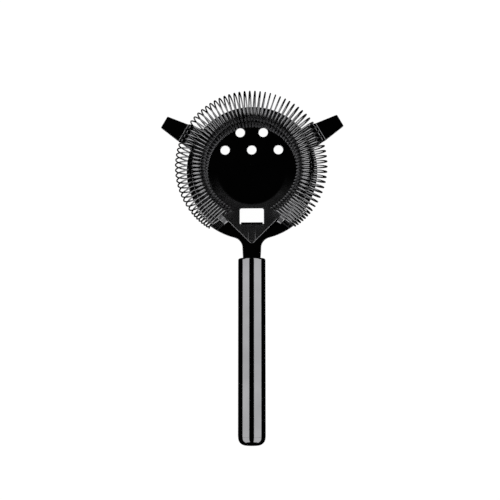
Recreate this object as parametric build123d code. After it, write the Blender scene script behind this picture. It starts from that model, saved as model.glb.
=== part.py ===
"""Hawthorne cocktail strainer with a tubular handle.

A stamped plate carries a loop of coil spring on its front face. Its neck runs into a tubular
handle, where a slotted plug and a cross pin hold it. The strainer lies on its back: +Z is the
spring side, +Y points from the handle to the head, and +X is to the right. The origin is on the
axis of the tin that the strainer sits in, in the plane of the tin's rim. All sizes are in
millimetres.
"""
from build123d import *
from math import cos, radians, sin, sqrt
import os

os.makedirs("parts", exist_ok=True)

# ---- sheet metal of the plate ----
sheet = 1.2
ear_step = 1.6            # the plate sits this much deeper in the tin than the ears
ledge_radius = 33.2       # the plate's flat ledge; the coil's middle lies over its edge
rim_width = 3.1           # width of the outer ring
rim_step = 0.5            # the outer ring lies this much below the ledge
rim_lap = 0.6             # width of the wall under that step
tail_overhang = 2.1       # the tail stands out past the rim
tail_half_angle = 36.5    # the tail's sector, each side of -Y
ledge_width = 4.3         # from the boss to the ledge's edge
boss_height = 0.7
boss_end_height = 0.3     # height that the boss has left where it meets the neck
boss_wall = 0.7           # thickness of the wall round the boss
boss_fade = 14.7          # the boss starts to fade this far inside the ledge's edge

# ---- drain holes ----
hole_diameter = 5.2
hole_places = [(-6.4, 21.5), (6.4, 21.5), (-14.8, 11.7), (0.0, 11.7), (14.8, 11.7)]

# ---- window and finger tongue ----
window_width = 13.3
window_height = 7.55
window_set_in = 12.2      # from the ledge's edge to the far side of the window
window_corner = 1.1
tongue_gap = 0.7
tongue_bend_radius = 2.3  # outer radius of the bend
notch_depth = 1.1
tongue_corner = 1.5
blade_start = 3.0         # the tongue's tip was cut this far from the window's far side

# ---- ears ----
ear_angle = 30.0
ear_tip_half_width = 3.7
ear_root_half_width = 7.4
ear_lap = 2.2             # the ear starts this far inside the ledge's edge
ear_bend_clearance = 1.7  # from the outside of the spring to the middle of the ear's step
ear_tip_length = 13.5
ear_corner = 0.6
ear_bend_radius = 0.5

# ---- neck, rib and tang ----
neck_width = 10.3
neck_end_width = 9.7
neck_length = 10.4        # from the tail's edge to the handle
neck_taper_start = 5.0    # from the tail's edge
neck_fillet = 6.0
rib_width = 3.8
rib_height = 0.15
rib_length = 7.4
rib_set_in = 1.6          # the rib starts this far inside the ledge's edge
tang_length = 12.0

# ---- handle ----
handle_diameter = 15.0
handle_length = 101.3
handle_wall = 1.2
handle_edge = 0.8
cap_length = 4.8
cap_spigot = 8.0
cap_round = 4.0
cap_crown = 0.55
plug_length = 14.0
plug_recess = 0.3
pin_diameter = 3.0
pin_set_in = 7.5          # from the handle's front end to the pin
pin_end_gap = 0.1

# ---- coil spring ----
wire_diameter = 0.8
coil_diameter = 17.0      # outer diameter of one turn
ring_shift = 1.1          # the ring's centre lies this much towards the head
turns = 78
end_turns = 7             # turns at each end that are pressed together
end_pitch = 2.9           # degrees between two turns there
ring_start = 239.8        # direction of the first turn from the ring's centre, in degrees
ring_end = -57.5
end_lean = 18.0           # degrees that the last turn at each end leans over
lean_turns = 10            # turns at each end over which the lean builds up
coil_gap = 0.4            # clearance between the plate and the coil

# ---- tabs that hold the ends of the spring ----
tab_width = 2.6
tab_ramp = 2.6
tab_bend_radius = 1.3
tab_tongue = 3.0
tab_clearance = 0.65
tab_lead = 2.9            # the ramp starts this far before the last turn
tab_inset = 0.9           # the tab lies this much nearer to the plate's centre than the coil

# ---- levels and places that follow from the sizes ----
face = ear_step
back = face - sheet
middle = (face + back) / 2
rim_radius = ledge_radius + rim_width
tail_radius = rim_radius + tail_overhang
boss_radius = ledge_radius - ledge_width
boss_tip = boss_radius * sqrt(2)
boss_fade_start = ledge_radius - boss_fade
window_top = ledge_radius - window_set_in
tongue_face = window_top + window_height
tongue_root = tongue_face + tongue_bend_radius
ring_radius = ledge_radius
coil_radius = (coil_diameter - wire_diameter) / 2
coil_level = face + coil_gap + coil_diameter / 2
ear_root = ledge_radius - ear_lap
ear_bend = ring_radius + coil_diameter / 2 + ear_bend_clearance
ear_reach = ear_bend + ear_tip_length
handle_radius = handle_diameter / 2
handle_bore = handle_radius - handle_wall
handle_start = tail_radius + neck_length
handle_end = handle_start + handle_length
lying_level = middle - handle_radius
taper_start = tail_radius + neck_taper_start
rib_start = ledge_radius - rib_set_in
rib_end = rib_start + rib_length


def prism(sketch, bottom, top):
    """Give the solid over a sketch between two levels."""
    return extrude(Pos(0, 0, bottom) * sketch, top - bottom)


def side_bar(points, half_width):
    """Give a bar along X whose section is a polygon of (y, z) points."""
    section = make_face(Polyline(points, close=True))
    return extrude(Plane.YZ * section, half_width, both=True)


def boss_rise(distance):
    """Height of the boss at a distance from the centre towards the neck."""
    share = (distance - boss_fade_start) / (boss_tip - boss_fade_start)
    return boss_height - (boss_height - boss_end_height) * min(max(share, 0.0), 1.0)


def teardrop(radius):
    """Circle with a square point towards the neck."""
    side = radius / sqrt(2)
    point = make_face(Polyline([(-side, -side), (side, -side), (0, -2 * side)], close=True))
    return Circle(radius) + point


def boss_slab(bottom, top):
    """Slab between two levels of the ledge, raised as the boss is."""
    far = boss_tip + sheet
    ys = [rim_radius, -boss_fade_start, -far]
    rises = [boss_height, boss_height, boss_rise(far)]
    upper = [(y, top + rise) for y, rise in zip(ys, rises)]
    lower = [(y, bottom + rise) for y, rise in zip(ys, rises)]
    return side_bar(upper + lower[::-1], rim_radius)


def tail_sector():
    """Wedge from the plate's centre that holds the tail."""
    across = 2 * tail_radius * sin(radians(tail_half_angle))
    along = 2 * tail_radius * cos(radians(tail_half_angle))
    return make_face(Polyline([(0, 0), (across, -along), (-across, -along)], close=True))


def outline():
    """Outline of the plate, its neck and its tang, without the ears."""
    tail = Circle(tail_radius) & tail_sector()
    tang_end = handle_start + tang_length
    neck = make_face(Polyline([
        (-neck_width / 2, -ledge_radius),
        (-neck_width / 2, -taper_start),
        (-neck_end_width / 2, -handle_start),
        (-neck_end_width / 2, -tang_end),
        (neck_end_width / 2, -tang_end),
        (neck_end_width / 2, -handle_start),
        (neck_width / 2, -taper_start),
        (neck_width / 2, -ledge_radius),
    ], close=True))
    shape = Circle(ledge_radius) + tail + neck
    meeting = sqrt(tail_radius ** 2 - (neck_width / 2) ** 2)
    corners = [v for v in shape.vertices()
               if abs(abs(v.X) - neck_width / 2) < 0.05 and abs(v.Y + meeting) < 0.05]
    return fillet(corners, neck_fillet)


def ear():
    """Right ear: a tapered strip with a step in it."""
    slope = (ear_root_half_width - ear_tip_half_width) / (ear_reach - ear_root)
    strip = make_face(Polyline([
        (ear_root, ear_tip_half_width + slope * (ear_reach - ear_root)),
        (ear_reach, ear_tip_half_width),
        (ear_reach, -ear_tip_half_width),
        (ear_root, -ear_tip_half_width - slope * (ear_reach - ear_root)),
    ], close=True))
    strip = fillet(strip.vertices().group_by(Axis.X)[-1], ear_corner)
    half_step = ear_step / 2
    shift = sheet * (sqrt(2) - 1)
    upper = [(ear_root, face), (ear_bend - half_step, face),
             (ear_bend + half_step, face - ear_step), (ear_reach, face - ear_step)]
    lower = [(ear_reach, back - ear_step), (ear_bend + half_step - shift, back - ear_step),
             (ear_bend - half_step - shift, back), (ear_root, back)]
    section = make_face(Polyline(upper + lower, close=True))
    bends = [v for v in section.vertices() if ear_root + 1 < v.X < ear_reach - 1]
    section = fillet(bends, ear_bend_radius)
    profile = extrude(Plane.XZ * section, ear_root_half_width, both=True)
    whole = prism(strip, back - ear_step, face) & profile
    return Rot(0, 0, ear_angle) * whole


def tongue():
    """Finger tongue, bent square to the plate and level with the handle's underside."""
    level = face + boss_rise(tongue_root)
    half = window_width / 2 - tongue_gap
    turn = tongue_bend_radius
    inner = turn - sheet
    section = make_face([
        Line((-tongue_root, level), (-tongue_root, level - sheet)),
        RadiusArc((-tongue_root, level - sheet), (-tongue_root + inner, level - turn), inner),
        Line((-tongue_root + inner, level - turn), (-tongue_root + inner, lying_level)),
        Line((-tongue_root + inner, lying_level), (-tongue_face, lying_level)),
        Line((-tongue_face, lying_level), (-tongue_face, level - turn)),
        RadiusArc((-tongue_face, level - turn), (-tongue_root, level), -turn),
    ])
    blade = extrude(Plane.YZ * section, half, both=True)
    tip = blade.edges().filter_by(Axis.Y).group_by(Axis.Z)[0]
    return fillet(tip, tongue_corner)


def coil_point(direction, lean, side):
    """Middle of the wire at the outside (side 1) or the inside (side -1) of the ring."""
    along = radians(direction)
    across = radians(direction - lean)
    return Vector(
        ring_radius * cos(along) + side * coil_radius * cos(across),
        ring_shift + ring_radius * sin(along) + side * coil_radius * sin(across),
        coil_level,
    )


def coil_stops():
    """Outside and inside points of the wire, turn by turn, from the left end to the right."""
    steps = [end_pitch] * end_turns
    even = (ring_start - ring_end - 2 * end_pitch * end_turns) / (turns - 2 * end_turns)
    steps = steps + [even] * (turns - 2 * end_turns) + steps
    stops = []
    direction = ring_start
    for number in range(turns + 1):
        step = steps[min(number, turns - 1)]
        from_start = max(0.0, 1 - number / lean_turns)
        from_end = max(0.0, 1 - (turns - number) / lean_turns)
        lean = end_lean * (from_start ** 2 - from_end ** 2)
        stops.append(coil_point(direction, lean, 1))
        stops.append(coil_point(direction - step / 2, lean, -1))
        direction -= step
    return stops


def coil_spring():
    """Loop of coil spring: half turns that alternate over and under the ring's middle."""
    stops = coil_stops()
    arcs = []
    for number in range(len(stops) - 1):
        start, end = stops[number], stops[number + 1]
        lift = (end - start).length / 2 * (1 if number % 2 == 0 else -1)
        top = (start + end) / 2 + Vector(0, 0, lift)
        arcs.append(ThreePointArc(start, top, end))
    path = Wire(arcs)
    section = Plane(origin=stops[0], z_dir=(0, 0, 1)) * Circle(wire_diameter / 2)
    return sweep(section, path=path)


def tab_plane(stops):
    """Plane on the middle of the last turn, with its X axis into the coil."""
    outside, inside = stops
    across = (inside - outside).normalized()
    along = Vector(0, 0, 1).cross(across)
    if along.Y < 0:
        along = along * -1
    centre = (outside + inside) / 2 + across * tab_inset
    return Plane(origin=(centre.X, centre.Y, 0), x_dir=along, z_dir=(0, 0, 1))


def tab(plane):
    """Tab lanced from the plate, which rises and then runs into the coil."""
    half_reach = tab_width / 2 + tab_inset
    inner_radius = coil_radius - wire_diameter / 2
    under = coil_level - sqrt(inner_radius ** 2 - half_reach ** 2) + tab_clearance
    rise = under - back
    end = tab_ramp + tab_tongue
    section = make_face(Polyline([
        (-sheet, back), (0, back), (tab_ramp, back + rise), (end, back + rise),
        (end, face + rise), (tab_ramp, face + rise), (0, face), (-sheet, face),
    ], close=True))
    bends = [v for v in section.vertices() if -0.1 < v.X < tab_ramp + 0.1]
    section = fillet(bends, tab_bend_radius)
    strip = extrude(Plane.XZ * section, tab_width / 2, both=True)
    return plane.location * Pos(-tab_lead, 0, 0) * strip


def tab_slot(plane):
    """Opening that the tab leaves in the plate."""
    length = tab_ramp + tab_tongue
    slot = Pos(length / 2 - tab_lead, 0, 0) * Rectangle(length, tab_width)
    return plane.location * prism(slot, back - rim_step - 1, face + boss_height + 1)


def rib():
    """Low stiffening rib on the middle of the tail."""
    rise = boss_rise(rib_start)
    radius = (rib_width ** 2 / 4 + rib_height ** 2) / (2 * rib_height)
    bar = Rot(90, 0, 0) * Cylinder(radius, rib_length)
    bar = Pos(0, -(rib_start + rib_end) / 2, face + rise + rib_height - radius) * bar
    keep = Pos(0, -(rib_start + rib_end) / 2, face + rib_height) * Box(
        rib_width, rib_length, 2 * (rise + rib_height) - sheet / 2)
    return bar & keep


def drain_and_window():
    """Sketch of the drain holes and of the window that the tongue is cut from."""
    sketch = Sketch() + [Pos(x, y) * Circle(hole_diameter / 2) for x, y in hole_places]
    sides_end = tongue_face + notch_depth
    opening = Pos(0, -(window_top + sides_end) / 2) * Rectangle(window_width, sides_end - window_top)
    opening = fillet(opening.vertices().group_by(Axis.Y)[-1], window_corner)
    strip_width = window_width - 2 * tongue_gap
    tip = window_top + blade_start
    strip = Pos(0, -(tip + tongue_root) / 2) * Rectangle(strip_width, tongue_root - tip)
    return sketch + opening + strip


def strainer_plate():
    """The stamped plate with its ears, tongue, tabs, rib, neck and tang."""
    body = prism(outline(), back, face)
    ring = Circle(rim_radius) - Circle(ledge_radius - rim_lap) - tail_sector()
    body += prism(ring, back - rim_step, face - rim_step)
    right_ear = ear()
    body += right_ear
    body += mirror(right_ear, about=Plane.YZ)
    point_round = fillet(teardrop(boss_radius).vertices().group_by(Axis.Y)[0], sheet)
    body += prism(point_round, back, face + boss_height) & boss_slab(-sheet, face)
    body -= prism(teardrop(boss_radius - boss_wall), back - 1, face) & boss_slab(-3 * sheet, back)
    body += rib()
    body -= prism(drain_and_window(), back - sheet, face + 2 * boss_height)
    body += tongue()
    ends = coil_stops()
    for stops in (ends[:2], ends[-2:]):
        plane = tab_plane(stops)
        body -= tab_slot(plane)
        body += tab(plane)
    pin_place = handle_start + pin_set_in
    body -= Pos(0, -pin_place, middle) * Cylinder(pin_diameter / 2, 2 * sheet)
    return body


def around_handle(points):
    """Half section of a handle piece, from (distance from the front end, radius) points."""
    return make_face(Polyline([(-handle_start - along, middle + out) for along, out in points],
                              close=True))


def turned(section):
    """Revolve a section in the YZ plane about the handle's axis."""
    return revolve(Plane.YZ * section, Axis((0, 0, middle), (0, 1, 0)))


def handle_tube():
    """Tube of the handle, with its front edge broken."""
    end = handle_length - cap_length
    section = around_handle([
        (0, handle_bore), (0, handle_radius - handle_edge), (handle_edge, handle_radius),
        (end, handle_radius), (end, handle_bore),
    ])
    return turned(section)


def handle_end_cap():
    """Crowned cap with a spigot in the tube's end."""
    seam = -handle_end + cap_length
    shoulder = -handle_end + cap_crown
    crown_radius = (handle_radius ** 2 + cap_crown ** 2) / (2 * cap_crown)
    rim = middle + handle_radius
    bore = middle + handle_bore
    section = make_face([
        RadiusArc((-handle_end, middle), (shoulder, rim), crown_radius),
        Line((shoulder, rim), (seam, rim)),
        Line((seam, rim), (seam, bore)),
        Line((seam, bore), (seam + cap_spigot, bore)),
        Line((seam + cap_spigot, bore), (seam + cap_spigot, middle)),
        Line((seam + cap_spigot, middle), (-handle_end, middle)),
    ])
    corner = [v for v in section.vertices() if abs(v.X - shoulder) < 0.01 and v.Y > bore]
    return turned(fillet(corner, cap_round))


def handle_front_plug():
    """Plug in the tube's front end, slotted for the tang and bored for the pin."""
    plug = turned(around_handle([
        (plug_recess, 0), (plug_recess, handle_bore),
        (plug_recess + plug_length, handle_bore), (plug_recess + plug_length, 0),
    ]))
    slot = Pos(0, -handle_start - tang_length / 2, middle) * Box(
        neck_end_width, tang_length, sheet)
    bore = Pos(0, -handle_start - pin_set_in, middle) * Cylinder(
        pin_diameter / 2, handle_diameter)
    return plug - slot - bore


def tang_pin():
    """Cross pin through the plug and the tang, hidden inside the tube."""
    half = sqrt(handle_bore ** 2 - pin_diameter ** 2 / 4) - pin_end_gap
    pin = Cylinder(pin_diameter / 2, 2 * half)
    return Pos(0, -handle_start - pin_set_in, middle) * pin


pieces = {
    "strainer_plate": strainer_plate,
    "coil_spring": coil_spring,
    "handle_tube": handle_tube,
    "handle_front_plug": handle_front_plug,
    "tang_pin": tang_pin,
    "handle_end_cap": handle_end_cap,
}

for name, make in pieces.items():
    export_step(make(), f"parts/{name}.step")
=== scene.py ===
"""Looks of a hawthorne strainer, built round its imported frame.

The strainer lies on its back, spring side up, on a pale floor with two soft panels of light on each
side. Lengths are in metres. The plate is finished from its own stamping, the spring is wound by a node
tree, and the handle is turned from profiles.
"""

import logging
import math
from dataclasses import dataclass
from enum import Enum
from typing import Any, Optional, Sequence

import bmesh
import bpy
from mathutils import Matrix, Vector


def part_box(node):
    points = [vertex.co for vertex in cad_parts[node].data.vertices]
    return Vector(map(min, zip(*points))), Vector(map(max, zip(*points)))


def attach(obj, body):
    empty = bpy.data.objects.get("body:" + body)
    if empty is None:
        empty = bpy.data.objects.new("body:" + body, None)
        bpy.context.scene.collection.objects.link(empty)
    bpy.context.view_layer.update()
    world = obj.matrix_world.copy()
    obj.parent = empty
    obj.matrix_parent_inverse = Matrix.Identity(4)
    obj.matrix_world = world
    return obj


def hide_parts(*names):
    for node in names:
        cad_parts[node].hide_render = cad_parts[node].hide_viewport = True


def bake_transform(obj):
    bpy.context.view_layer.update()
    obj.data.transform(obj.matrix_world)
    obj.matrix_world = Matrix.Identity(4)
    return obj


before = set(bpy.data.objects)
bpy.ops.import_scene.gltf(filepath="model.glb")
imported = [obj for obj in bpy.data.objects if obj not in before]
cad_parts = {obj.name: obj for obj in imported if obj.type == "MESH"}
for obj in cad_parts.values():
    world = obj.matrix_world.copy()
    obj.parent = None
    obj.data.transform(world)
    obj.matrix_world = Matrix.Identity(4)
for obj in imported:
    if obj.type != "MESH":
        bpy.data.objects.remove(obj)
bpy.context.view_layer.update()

log = logging.getLogger("strainer")
MM = 0.001


class Body(Enum):
    """The rigid groups of the strainer that pieces ride on."""

    FRAME = "frame"
    SPRING = "spring"


class Slot(Enum):
    """The record's material slots."""

    PLATE = "plate"
    SPRING = "spring"
    HANDLE = "handle"
    PLUG = "plug"
    PIN = "pin"


class Term:
    """A number in a node tree, which can be used in sums like any other number."""

    def __init__(self, board: "Board", socket: bpy.types.NodeSocket) -> None:
        """Keep the socket that carries the number.

        Args:
            board: the tree that the socket is in.
            socket: the output socket.
        """
        self.board = board
        self.socket = socket

    def __add__(self, other: Any) -> "Term":
        """Sum of two numbers."""
        return self.board.math("ADD", self, other)

    def __sub__(self, other: Any) -> "Term":
        """Difference of two numbers."""
        return self.board.math("SUBTRACT", self, other)

    def __rsub__(self, other: Any) -> "Term":
        """Difference of a plain number and this one."""
        return self.board.math("SUBTRACT", other, self)

    def __mul__(self, other: Any) -> "Term":
        """Product of two numbers."""
        return self.board.math("MULTIPLY", self, other)

    def __truediv__(self, other: Any) -> "Term":
        """Quotient of two numbers."""
        return self.board.math("DIVIDE", self, other)

    def least(self, other: Any) -> "Term":
        """The smaller of two numbers."""
        return self.board.math("MINIMUM", self, other)

    def most(self, other: Any) -> "Term":
        """The larger of two numbers."""
        return self.board.math("MAXIMUM", self, other)

    def cos(self) -> "Term":
        """Cosine of an angle in radians."""
        return self.board.math("COSINE", self)

    def sin(self) -> "Term":
        """Sine of an angle in radians."""
        return self.board.math("SINE", self)


class Board:
    """A node tree that is being drawn up."""

    def __init__(self, tree: bpy.types.NodeTree) -> None:
        """Start on a tree.

        Args:
            tree: the shader or geometry tree that gets the nodes.
        """
        self.tree = tree

    def feed(self, socket: bpy.types.NodeSocket, value: Any) -> None:
        """Give an input socket a link or a fixed value.

        Args:
            socket: the input socket.
            value: a Term or an output socket to link, or a plain value.
        """
        if isinstance(value, Term):
            value = value.socket
        if isinstance(value, bpy.types.NodeSocket):
            self.tree.links.new(value, socket)
        else:
            socket.default_value = value

    def add(self, kind: str, inputs: Optional[dict[Any, Any]] = None, **settings: Any) -> bpy.types.Node:
        """Add a node.

        Args:
            kind: the node's type.
            inputs: values or links by the input's name or number.
            **settings: the node's own options.

        Returns:
            The new node.
        """
        node = self.tree.nodes.new(kind)
        for name, value in settings.items():
            setattr(node, name, value)
        for key, value in (inputs or {}).items():
            self.feed(node.inputs[key], value)
        return node

    def math(self, operation: str, *terms: Any) -> Term:
        """Add a sum of plain numbers.

        Args:
            operation: the Math node's operation.
            *terms: Terms, sockets or numbers.

        Returns:
            The result.
        """
        node = self.add("ShaderNodeMath", dict(enumerate(terms)), operation=operation)
        return Term(self, node.outputs[0])

    def mark(self, name: str) -> Term:
        """Read an attribute that the mesh carries.

        Args:
            name: the attribute's name.

        Returns:
            Its value.
        """
        return Term(self, self.add("ShaderNodeAttribute", attribute_name=name).outputs["Fac"])

    def noise(self, place: Any, scale: float, detail: float, roughness: float = 0.5) -> Term:
        """Add a noise pattern.

        Args:
            place: the coordinates that it is read at.
            scale: how many bumps there are in a metre.
            detail: how many finer layers it has.
            roughness: how strong the finer layers are.

        Returns:
            Its value, about 0.5 on average.
        """
        node = self.add("ShaderNodeTexNoise", {
            "Vector": place, "Scale": scale, "Detail": detail, "Roughness": roughness})
        return Term(self, node.outputs[0])

    def spread(self, value: Any, low: float, high: float, to_low: float, to_high: float) -> Term:
        """Map a range of numbers to another one, and hold it there.

        Args:
            value: the number.
            low: start of the range that it comes from.
            high: end of that range.
            to_low: what low becomes.
            to_high: what high becomes.

        Returns:
            The mapped number.
        """
        node = self.add("ShaderNodeMapRange", {
            "Value": value, "From Min": low, "From Max": high, "To Min": to_low, "To Max": to_high})
        return Term(self, node.outputs[0])


@dataclass(frozen=True)
class BlackFinish:
    """Black coating on polished stainless steel, a dark mirror.

    The tone drifts slightly over the piece, the polish leaves fine lines along one direction, and
    worn edges show lighter metal. Faces marked satin are duller behind an arc round the centre.
    """

    name: str
    tone: float = 0.125
    drift: float = 0.012
    gloss: float = 0.045
    gloss_drift: float = 0.03
    line_scale: tuple[float, float, float] = (60.0, 2600.0, 60.0)
    line_depth: float = 0.0000012
    waviness: float = 0.000004
    worn_tone: float = 0.15
    worn_gloss: float = 0.16
    satin_gloss: float = 0.2
    satin_from: float = 18.2 * MM
    satin_full: float = 19.4 * MM
    satin_rear: float = -13.0 * MM
    patch_scale: float = 55.0
    smear_scale: float = 240.0
    ripple_scale: float = 130.0
    rub_scale: float = 700.0
    blue_cast: float = 1.03

    def material(self) -> bpy.types.Material:
        """Make the material.

        Returns:
            The finished material.
        """
        made = bpy.data.materials.new(self.name)
        made.use_nodes = True
        board = Board(made.node_tree)
        metal = made.node_tree.nodes["Principled BSDF"]
        metal.inputs["Metallic"].default_value = 1.0
        place = board.add("ShaderNodeTexCoord").outputs["Object"]
        lines_at = board.add("ShaderNodeMapping", {"Vector": place, "Scale": self.line_scale})
        patches = board.noise(place, self.patch_scale, 3.0)
        smears = board.noise(place, self.smear_scale, 5.0, 0.6)
        lines = board.noise(lines_at.outputs[0], 1.0, 2.0)
        ripple = board.noise(place, self.ripple_scale, 1.0)
        wear = board.mark("edge_wear")
        rub = board.noise(place, self.rub_scale, 4.0)
        rubbed = wear * board.spread(rub, 0.35, 0.65, 0.25, 1.0)
        tone = board.spread(patches, 0.3, 0.7, self.tone - self.drift, self.tone + self.drift)
        tone = tone + rubbed * (self.worn_tone - self.tone)
        colour = board.add("ShaderNodeCombineColor", {0: tone, 1: tone, 2: tone * self.blue_cast})
        board.feed(metal.inputs["Base Color"], colour.outputs[0])
        gloss = board.spread(smears, 0.35, 0.7, self.gloss, self.gloss + self.gloss_drift)
        satin = board.mark("satin")
        reach = board.add("ShaderNodeVectorMath", {0: place}, operation="LENGTH").outputs["Value"]
        rearward = board.add("ShaderNodeSeparateXYZ", {0: place}).outputs["Y"]
        satin = satin * board.spread(reach, self.satin_from, self.satin_full, 0.0, 1.0)
        satin = satin * board.spread(rearward, self.satin_rear, 0.0, 1.0, 0.0)
        gloss = gloss + satin * (self.satin_gloss - self.gloss)
        board.feed(metal.inputs["Roughness"], gloss + rubbed * (self.worn_gloss - self.gloss))
        height = lines * self.line_depth + ripple * self.waviness
        bump = board.add("ShaderNodeBump", {"Strength": 1.0, "Distance": 1.0, "Height": height})
        board.feed(metal.inputs["Normal"], bump.outputs[0])
        return made


@dataclass(frozen=True)
class WireFinish:
    """Black drawn spring wire, with die lines along it."""

    name: str
    tone: float = 0.14
    gloss: float = 0.05
    line_depth: float = 0.000002
    lines_round: float = 26.0
    line_stretch: float = 1.4
    blotch_scale: float = 0.08
    blotch_depth: float = 0.15
    rough_lines: float = 1.8

    def material(self) -> bpy.types.Material:
        """Make the material. It reads how far along and round the wire a point is.

        Returns:
            The finished material.
        """
        made = bpy.data.materials.new(self.name)
        made.use_nodes = True
        board = Board(made.node_tree)
        metal = made.node_tree.nodes["Principled BSDF"]
        metal.inputs["Metallic"].default_value = 1.0
        along = board.mark("wire_turn")
        angle = board.mark("wire_round") * math.tau
        place = board.add("ShaderNodeCombineXYZ", {
            0: angle.cos() * self.lines_round, 1: angle.sin() * self.lines_round,
            2: along * self.line_stretch})
        lines = board.noise(place.outputs[0], 1.0, 2.0)
        blotches = board.noise(place.outputs[0], self.blotch_scale, 3.0)
        tone = board.spread(blotches, 0.3, 0.7, self.tone * (1 - self.blotch_depth),
                            self.tone * (1 + self.blotch_depth))
        colour = board.add("ShaderNodeCombineColor", {0: tone, 1: tone, 2: tone * 1.02})
        board.feed(metal.inputs["Base Color"], colour.outputs[0])
        roughness = board.spread(lines, 0.3, 0.7, self.gloss, self.gloss * self.rough_lines)
        board.feed(metal.inputs["Roughness"], roughness)
        bump = board.add("ShaderNodeBump", {
            "Strength": 1.0, "Distance": 1.0, "Height": lines * self.line_depth})
        board.feed(metal.inputs["Normal"], bump.outputs[0])
        return made


def plain_mesh(piece: bpy.types.Object) -> None:
    """Turn an object's modifiers into its mesh.

    Args:
        piece: the object, which loses its modifiers.
    """
    graph = bpy.context.evaluated_depsgraph_get()
    mesh = bpy.data.meshes.new_from_object(piece.evaluated_get(graph))
    piece.modifiers.clear()
    piece.data = mesh


def new_piece(name: str, mesh: bpy.types.Mesh) -> bpy.types.Object:
    """Put a mesh in the scene as an object at the origin.

    Args:
        name: the piece's name.
        mesh: its mesh.

    Returns:
        The new object.
    """
    piece = bpy.data.objects.new(name, mesh)
    bpy.context.scene.collection.objects.link(piece)
    return piece


def smooth_by_angle(piece: bpy.types.Object, limit: float) -> None:
    """Shade a piece smoothly, with its sharp edges kept and its flat faces flat.

    Args:
        piece: the object.
        limit: the angle in degrees above which an edge stays sharp.
    """
    piece.data.shade_smooth()
    piece.data.set_sharp_from_angle(angle=math.radians(limit))
    weighted = piece.modifiers.new("flat faces", "WEIGHTED_NORMAL")
    weighted.keep_sharp = True
    weighted.weight = 100
    plain_mesh(piece)


@dataclass
class Plate:
    """The stamped plate, with the edges of its sheet rounded by tumbling."""

    finish: BlackFinish
    thickness: float = 1.2 * MM
    edge_round: float = 0.12 * MM
    edge_steps: int = 3
    sharp_from: float = 28.0
    merge: float = 0.002 * MM
    flat_within: float = 0.2
    tail_rise: float = 0.12 * MM
    tab_rise: float = 0.95 * MM
    tab_matt: float = 2.8
    tab_facing: float = 0.3
    boss_facing: float = 0.9
    smooth_below: float = 50.0

    def build(self) -> bpy.types.Object:
        """Round the sheet's edges on a copy of the stamping.

        Returns:
            The finished plate.
        """
        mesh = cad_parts["strainer_plate"].data.copy()
        pin_low, pin_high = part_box("tang_pin")
        ledge = (pin_low.z + pin_high.z + self.thickness) / 2
        sheet = bmesh.new()
        sheet.from_mesh(mesh)
        bmesh.ops.remove_doubles(sheet, verts=sheet.verts, dist=self.merge)
        bmesh.ops.dissolve_limit(sheet, angle_limit=math.radians(self.flat_within),
                                 verts=sheet.verts, edges=sheet.edges)
        wear = sheet.faces.layers.float.new("edge_wear")
        corners = [edge for edge in sheet.edges if len(edge.link_faces) == 2
                   and edge.calc_face_angle(0.0) > math.radians(self.sharp_from)]
        rounded = bmesh.ops.bevel(sheet, geom=corners, offset=self.edge_round, offset_type="OFFSET",
                                  segments=self.edge_steps, profile=0.5, affect="EDGES",
                                  clamp_overlap=False)
        for face in rounded["faces"]:
            face[wear] = 1.0
        satin = sheet.faces.layers.float.new("satin")
        for face in sheet.faces:
            face[satin] = self.satin_of(face, ledge)
        sheet.to_mesh(mesh)
        sheet.free()
        piece = new_piece("stamped_plate", mesh)
        smooth_by_angle(piece, self.smooth_below)
        return piece

    def satin_of(self, face: bmesh.types.BMFace, ledge: float) -> float:
        """Tell how satin a face is: the boss's top has a satin polish and the tabs a matt one.

        Args:
            face: the face.
            ledge: height of the plate's flat top.

        Returns:
            0 for a face that is polished, 1 for a satin one and more for a matt one.
        """
        rise = face.calc_center_median().z - ledge
        if rise > self.tab_rise and face.normal.z > self.tab_facing:
            return self.tab_matt
        return float(rise > self.tail_rise and face.normal.z > self.boss_facing)

    def dress(self, piece: bpy.types.Object) -> None:
        """Coat the plate and put it in place of the plain stamping.

        Args:
            piece: the plate.
        """
        piece.data.materials.clear()
        piece.data.materials.append(self.finish.material())
        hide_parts("strainer_plate")
        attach(piece, Body.FRAME.value)


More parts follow.
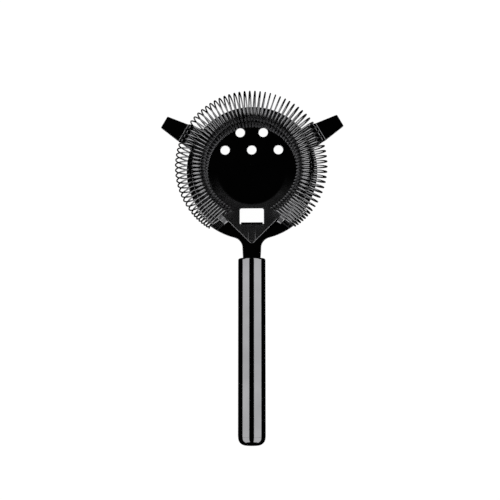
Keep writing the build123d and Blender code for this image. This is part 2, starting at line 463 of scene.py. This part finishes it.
@dataclass
class CoilSpring:
    """The loop of coil spring: one wire, wound round a ring that is open towards the neck."""

    finish: WireFinish
    turns: float = 78.0
    wire_radius: float = 0.4 * MM
    coil_radius: float = 8.1 * MM
    ring_shift: float = 1.1 * MM
    first_direction: float = 239.8
    last_direction: float = -57.5
    pressed_turns: float = 7.0
    pressed_pitch: float = 2.9
    end_lean: float = 18.0
    lean_turns: float = 10.0
    unevenness: float = 0.35
    drift_rate: float = 0.9
    seed: float = 7.0
    trail: float = 0.04
    points_in_turn: int = 40
    sides: int = 10

    def inputs(self) -> dict[str, tuple[str, Any]]:
        """Sizes that the node tree takes, by name, with the kind of socket for each.

        Returns:
            The sizes.
        """
        low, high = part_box("coil_spring")
        ring_radius = (high.x - low.x) / 2 - self.coil_radius - self.wire_radius
        return {
            "Turns": ("NodeSocketFloat", self.turns),
            "Points in Turn": ("NodeSocketInt", self.points_in_turn),
            "Wire Sides": ("NodeSocketInt", self.sides),
            "Wire Radius": ("NodeSocketFloat", self.wire_radius),
            "Coil Radius": ("NodeSocketFloat", self.coil_radius),
            "Ring Radius": ("NodeSocketFloat", ring_radius),
            "Ring Shift": ("NodeSocketFloat", self.ring_shift),
            "Level": ("NodeSocketFloat", (low.z + high.z) / 2),
            "First Direction": ("NodeSocketFloat", math.radians(self.first_direction)),
            "Last Direction": ("NodeSocketFloat", math.radians(self.last_direction)),
            "Pressed Turns": ("NodeSocketFloat", self.pressed_turns),
            "Pressed Pitch": ("NodeSocketFloat", math.radians(self.pressed_pitch)),
            "End Lean": ("NodeSocketFloat", math.radians(self.end_lean)),
            "Lean Turns": ("NodeSocketFloat", self.lean_turns),
            "Unevenness": ("NodeSocketFloat", math.radians(self.unevenness)),
            "Trail": ("NodeSocketFloat", self.trail),
            "Seed": ("NodeSocketFloat", self.seed),
            "Finish": ("NodeSocketMaterial", self.finish.material()),
        }

    def tree(self, sizes: dict[str, tuple[str, Any]]) -> bpy.types.NodeTree:
        """Draw up the tree that winds the wire.

        Args:
            sizes: the inputs by name, as inputs() gives them.

        Returns:
            The geometry tree.
        """
        tree = bpy.data.node_groups.new("wind_coil_spring", "GeometryNodeTree")
        for name, (kind, _) in sizes.items():
            tree.interface.new_socket(name=name, in_out="INPUT", socket_type=kind)
        tree.interface.new_socket(name="Spring", in_out="OUTPUT", socket_type="NodeSocketGeometry")
        board = Board(tree)
        given = board.add("NodeGroupInput")
        size = {name: Term(board, given.outputs[name]) for name in sizes}
        number = Term(board, board.add("GeometryNodeInputIndex").outputs[0])
        turn = number / size["Points in Turn"]
        place = self.place_of_turn(board, size, turn)
        count = size["Turns"] * size["Points in Turn"] + size["Points in Turn"] / 2 + 1
        line = board.add("GeometryNodeMeshLine", {"Count": count}, mode="OFFSET")
        bent = board.add("GeometryNodeSetPosition", {"Geometry": line.outputs[0], "Position": place})
        marked = board.add("GeometryNodeStoreNamedAttribute", {
            "Geometry": bent.outputs[0], "Name": "wire_turn", "Value": turn})
        path = board.add("GeometryNodeMeshToCurve", {"Mesh": marked.outputs[0]})
        section = board.add("GeometryNodeCurvePrimitiveCircle", {
            "Resolution": size["Wire Sides"], "Radius": size["Wire Radius"]})
        share = number / size["Wire Sides"]
        rim = board.add("GeometryNodeStoreNamedAttribute", {
            "Geometry": section.outputs[0], "Name": "wire_round", "Value": share})
        wire = board.add("GeometryNodeCurveToMesh", {
            "Curve": path.outputs[0], "Profile Curve": rim.outputs[0], "Fill Caps": True})
        smooth = board.add("GeometryNodeSetShadeSmooth", {"Geometry": wire.outputs[0]})
        real = board.add("GeometryNodeRealizeInstances", {"Geometry": smooth.outputs[0]})
        coated = board.add("GeometryNodeSetMaterial", {
            "Geometry": real.outputs[0], "Material": size["Finish"]})
        board.add("NodeGroupOutput", {"Spring": coated.outputs[0]})
        return tree

    def place_of_turn(self, board: Board, size: dict[str, Term], turn: Term) -> bpy.types.NodeSocket:
        """Work out where the wire is after a number of turns.

        Args:
            board: the tree.
            size: its inputs.
            turn: how many turns the wire has made.

        Returns:
            The place, as a vector.
        """
        turns, pressed, pitch = size["Turns"], size["Pressed Turns"], size["Pressed Pitch"]
        middle_turns = turns - pressed * 2.0
        swing = size["First Direction"] - size["Last Direction"]
        even_pitch = (swing - pitch * pressed * 2.0) / middle_turns
        at_ends = turn.least(pressed) + (turn - pressed - middle_turns).most(0.0)
        in_middle = (turn - pressed).most(0.0).least(middle_turns)
        drift = board.noise(board.add("ShaderNodeCombineXYZ", {
            0: turn * self.drift_rate, 1: size["Seed"]}).outputs[0], 1.0, 1.0)
        middling = (in_middle * (middle_turns - in_middle)).least(1.0)
        uneven = (drift - 0.5) * size["Unevenness"] * 2.0 * middling
        direction = size["First Direction"] - pitch * at_ends - even_pitch * in_middle + uneven
        from_first = (1.0 - turn / size["Lean Turns"]).most(0.0)
        from_last = (1.0 - (turns - turn) / size["Lean Turns"]).most(0.0)
        lean = size["End Lean"] * (from_first * from_first - from_last * from_last)
        across = direction - lean
        wind = turn * math.tau
        out = size["Coil Radius"] * wind.cos()
        lag = wind.sin() * size["Trail"] * size["Coil Radius"] / size["Ring Radius"]
        trailing = direction - lag * middling
        place = board.add("ShaderNodeCombineXYZ", {
            0: size["Ring Radius"] * trailing.cos() + out * across.cos(),
            1: size["Ring Radius"] * trailing.sin() + out * across.sin() + size["Ring Shift"],
            2: size["Coil Radius"] * wind.sin() + size["Level"],
        })
        return place.outputs[0]

    def build(self) -> bpy.types.Object:
        """Wind the wire and make it a plain mesh.

        Returns:
            The finished spring.
        """
        sizes = self.inputs()
        piece = new_piece("wound_spring", bpy.data.meshes.new("wound_spring"))
        winding = piece.modifiers.new("winding", "NODES")
        winding.node_group = self.tree(sizes)
        sockets = {s.name: s.identifier for s in winding.node_group.interface.items_tree
                   if s.in_out == "INPUT"}
        for name, (_, value) in sizes.items():
            winding[sockets[name]] = value
        plain_mesh(piece)
        return piece

    def dress(self, piece: bpy.types.Object) -> None:
        """Put the wound spring in place of the plain one, with its placement baked into its mesh.

        Args:
            piece: the spring.
        """
        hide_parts("coil_spring")
        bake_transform(piece)


def arc(centre: tuple[float, float], radius: float, start: float, end: float, steps: int,
        ) -> list[tuple[float, float]]:
    """Points on an arc.

    Args:
        centre: its centre.
        radius: its radius.
        start: direction of its first point, in degrees.
        end: direction of its last point, in degrees.
        steps: how many pieces it is cut into.

    Returns:
        The points.
    """
    directions = [math.radians(start + (end - start) * i / steps) for i in range(steps + 1)]
    return [(centre[0] + radius * math.cos(d), centre[1] + radius * math.sin(d)) for d in directions]


def turn_on_lathe(name: str, outline: Sequence[tuple[float, float]], level: float, sides: int,
                  ) -> bpy.types.Object:
    """Turn an outline about the handle's axis, which runs along Y.

    Args:
        name: the new piece's name.
        outline: closed outline of (y, radius) points; a point of radius 0 is on the axis.
        level: height of the axis.
        sides: how many sides the piece has.

    Returns:
        The turned piece.
    """
    work = bmesh.new()
    rings = []
    for y, radius in outline:
        if radius == 0:
            rings.append([work.verts.new((0, y, level))])
            continue
        turns = [math.tau * i / sides for i in range(sides)]
        rings.append([work.verts.new((radius * math.cos(a), y, level + radius * math.sin(a)))
                      for a in turns])
    for ring, following in zip(rings, rings[1:] + rings[:1]):
        if len(ring) == 1 and len(following) == 1:
            continue
        for i in range(sides):
            j = (i + 1) % sides
            corners = [ring[i % len(ring)], ring[j % len(ring)],
                       following[j % len(following)], following[i % len(following)]]
            work.faces.new(list(dict.fromkeys(corners)))
    bmesh.ops.recalc_face_normals(work, faces=work.faces)
    mesh = bpy.data.meshes.new(name)
    work.to_mesh(mesh)
    work.free()
    return new_piece(name, mesh)


@dataclass
class Handle:
    """The tubular handle: tube, crowned end cap, front plug and cross pin."""

    finish: BlackFinish
    plug_finish: BlackFinish
    pin_finish: BlackFinish
    sides: int = 144
    front_round: float = 0.9 * MM
    bore_round: float = 0.25 * MM
    seam_round: float = 0.06 * MM
    cap_round: float = 4.0 * MM
    cap_crown: float = 0.55 * MM
    cap_taper: float = 0.1 * MM
    smooth_below: float = 35.0

    def build(self) -> list[bpy.types.Object]:
        """Turn the tube and the cap.

        Returns:
            The turned pieces.
        """
        low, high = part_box("handle_tube")
        cap_low, cap_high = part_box("handle_end_cap")
        plug_low, plug_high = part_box("handle_front_plug")
        radius = (high.x - low.x) / 2
        bore = (plug_high.x - plug_low.x) / 2
        level = (high.z + low.z) / 2
        tube = turn_on_lathe("turned_tube", self.tube_outline(low.y, high.y, radius, bore), level,
                             self.sides)
        cap = turn_on_lathe("turned_end_cap", self.cap_outline(cap_low.y, cap_high.y, low.y, radius,
                                                               bore), level, self.sides)
        for piece in (tube, cap):
            smooth_by_angle(piece, self.smooth_below)
        return [tube, cap]

    def tube_outline(self, rear: float, front: float, radius: float, bore: float,
                     ) -> list[tuple[float, float]]:
        """Outline of the tube's wall.

        Args:
            rear: y of the seam with the cap.
            front: y of the front end.
            radius: outer radius.
            bore: inner radius.

        Returns:
            The outline.
        """
        lip = self.bore_round
        return (arc((front - lip, bore + lip), lip, -90, 0, 4)
                + arc((front - self.front_round, radius - self.front_round), self.front_round, 0, 90, 8)
                + arc((rear + self.seam_round, radius - self.seam_round), self.seam_round, 90, 180, 3)
                + [(rear, bore)])

    def cap_outline(self, rear: float, front: float, seam: float, radius: float, bore: float,
                    ) -> list[tuple[float, float]]:
        """Outline of the end cap, from its crown round to its spigot.

        Args:
            rear: y of the crown's tip.
            front: y of the spigot's end.
            seam: y of the seam with the tube.
            radius: outer radius at the seam.
            bore: radius of the spigot.

        Returns:
            The outline.
        """
        wide = radius - self.cap_taper
        crown = (wide ** 2 + self.cap_crown ** 2) / (2 * self.cap_crown)
        reach = crown - self.cap_round
        out = wide - self.cap_round
        meeting = 180 - math.degrees(math.asin(out / reach))
        centre = (rear + crown - math.sqrt(reach ** 2 - out ** 2), out)
        return ([(rear, 0.0)]
                + arc((rear + crown, 0.0), crown, 179.5, meeting, 8)
                + arc(centre, self.cap_round, meeting, 90, 14)[1:]
                + arc((seam - self.seam_round, radius - self.seam_round), self.seam_round, 90, 0, 3)
                + [(seam, bore), (front, bore), (front, 0.0)])

    def dress(self, pieces: Sequence[bpy.types.Object]) -> None:
        """Coat the handle, and give the plug and the pin their finishes.

        Args:
            pieces: the tube and the cap, as build() gives them.
        """
        coat = self.finish.material()
        for piece, node in zip(pieces, ("handle_tube", "handle_end_cap")):
            piece.data.materials.append(coat)
            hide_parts(node)
            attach(piece, Body.FRAME.value)
        for node, finish in (("handle_front_plug", self.plug_finish), ("tang_pin", self.pin_finish)):
            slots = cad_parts[node].data.materials
            slots.clear()
            slots.append(finish.material())


@dataclass
class Panel:
    """A soft panel of light beside the strainer, which fills a range of angles from straight up."""

    name: str
    nearest: float
    farthest: float
    radiance: float = 3.0
    rear: float = -1.4
    front: float = 1.2
    distance: float = 0.9

    def build(self, axis: Vector) -> bpy.types.Object:
        """Hang the panel so that it fills its angles as seen from the handle.

        Args:
            axis: a point on the handle's axis.

        Returns:
            The light.
        """
        middle = math.radians((self.nearest + self.farthest) / 2)
        half = math.radians(abs(self.farthest - self.nearest) / 2)
        lamp = bpy.data.lights.new(self.name, "AREA")
        lamp.shape = "RECTANGLE"
        lamp.size = 2 * self.distance * math.tan(half)
        lamp.size_y = self.front - self.rear
        lamp.energy = self.radiance * math.pi * lamp.size * lamp.size_y
        light = bpy.data.objects.new(self.name, lamp)
        away = Vector((math.sin(middle), 0, math.cos(middle)))
        light.location = axis + away * self.distance
        light.location.y = (self.front + self.rear) / 2
        light.rotation_euler = (0, middle, 0)
        light.visible_camera = False
        bpy.context.scene.collection.objects.link(light)
        return light


@dataclass
class Studio:
    """Pale floor, two panels of light on each side, and the camera above the strainer."""

    camera_reach: float = 0.55
    camera_tilt: float = 6.0
    camera_turn: float = 2.6
    view_width: float = 0.2751
    aim: tuple[float, float] = (-0.001, -0.04405)
    sensor: float = 36.0
    floor_size: float = 6.0
    floor_tone: float = 0.03
    floor_glow: float = 0.985
    gloom: float = 0.004
    panels: tuple[Panel, ...] = (
        Panel("left_panel", -19.5, -60.0),
        Panel("left_lower_panel", -60.0, -80.0, front=0.06),
        Panel("right_panel", 21.0, 66.0),
        Panel("right_lower_panel", 66.0, 88.0, front=0.06),
    )

    def floor(self, level: float) -> bpy.types.Object:
        """Lay the floor.

        Args:
            level: its height.

        Returns:
            The floor.
        """
        half = self.floor_size / 2
        mesh = bpy.data.meshes.new("pale_floor")
        mesh.from_pydata([(-half, -half, level), (half, -half, level), (half, half, level),
                          (-half, half, level)], [], [(0, 1, 2, 3)])
        floor = new_piece("pale_floor", mesh)
        paint = bpy.data.materials.new("pale_paint")
        paint.use_nodes = True
        surface = paint.node_tree.nodes["Principled BSDF"]
        surface.inputs["Base Color"].default_value = (self.floor_tone,) * 3 + (1.0,)
        surface.inputs["Roughness"].default_value = 0.9
        surface.inputs["Specular IOR Level"].default_value = 0.0
        surface.inputs["Emission Color"].default_value = (1.0, 1.0, 1.0, 1.0)
        surface.inputs["Emission Strength"].default_value = self.floor_glow
        mesh.materials.append(paint)
        floor.visible_glossy = False
        return floor

    def surroundings(self) -> None:
        """Make the room white to look at and dark in reflections."""
        world = bpy.data.worlds.new("studio")
        world.use_nodes = True
        bpy.context.scene.world = world
        board = Board(world.node_tree)
        world.node_tree.nodes.clear()
        seen = board.add("ShaderNodeLightPath").outputs["Is Camera Ray"]
        white = board.add("ShaderNodeBackground", {"Color": (1, 1, 1, 1), "Strength": 1.0})
        dark = board.add("ShaderNodeBackground", {"Color": (1, 1, 1, 1), "Strength": self.gloom})
        room = board.add("ShaderNodeMixShader", {0: seen, 1: dark.outputs[0], 2: white.outputs[0]})
        board.add("ShaderNodeOutputWorld", {"Surface": room.outputs[0]})

    def camera(self, face: float) -> bpy.types.Object:
        """Set the camera up above the strainer, a little to the right and towards the handle's end.

        Args:
            face: height of the plate, which the view's width is measured at.

        Returns:
            The camera.
        """
        lens = bpy.data.cameras.new("camera")
        lens.sensor_width = self.sensor
        lens.lens = self.sensor * self.camera_reach / self.view_width
        lens.clip_start = 0.01
        camera = bpy.data.objects.new("camera", lens)
        tilt, turn = math.radians(self.camera_tilt), math.radians(self.camera_turn)
        back = Vector((math.sin(turn), -math.sin(tilt) * math.cos(turn),
                       math.cos(tilt) * math.cos(turn)))
        right = Vector((0, 1, 0)).cross(back).normalized()
        camera.matrix_world = Matrix((right, back.cross(right), back)).transposed().to_4x4()
        camera.location = Vector((*self.aim, face)) + back * self.camera_reach
        bpy.context.scene.collection.objects.link(camera)
        bpy.context.scene.camera = camera
        return camera

    def build(self) -> None:
        """Set up the whole studio round the strainer."""
        low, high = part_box("handle_tube")
        self.floor(low.z)
        self.surroundings()
        for panel in self.panels:
            panel.build((low + high) / 2)
        self.camera((low.z + high.z) / 2)
        bpy.context.scene.view_settings.view_transform = "Standard"


def main() -> None:
    """Build the strainer piece by piece, then the studio round it."""
    logging.basicConfig(level=logging.INFO, format="%(name)s: %(message)s")
    mirror = BlackFinish("black_mirror_sheet")
    turned = BlackFinish("black_mirror_tube", line_scale=(20.0, 1800.0, 20.0))
    matt = BlackFinish("black_turned_plug", gloss=0.16, line_depth=0.000004)
    bright = BlackFinish("plain_turned_pin", tone=0.5, gloss=0.2)
    plate = Plate(mirror)
    stamped = plate.build()
    plate.dress(stamped)
    log.info("%s: %d faces", stamped.name, len(stamped.data.polygons))
    spring = CoilSpring(WireFinish("black_spring_wire"))
    wound = spring.build()
    spring.dress(wound)
    log.info("%s: %d faces", wound.name, len(wound.data.polygons))
    handle = Handle(turned, matt, bright)
    pieces = handle.build()
    handle.dress(pieces)
    for piece in pieces:
        log.info("%s: %d faces", piece.name, len(piece.data.polygons))
    Studio().build()


if __name__ == "__main__":
    main()
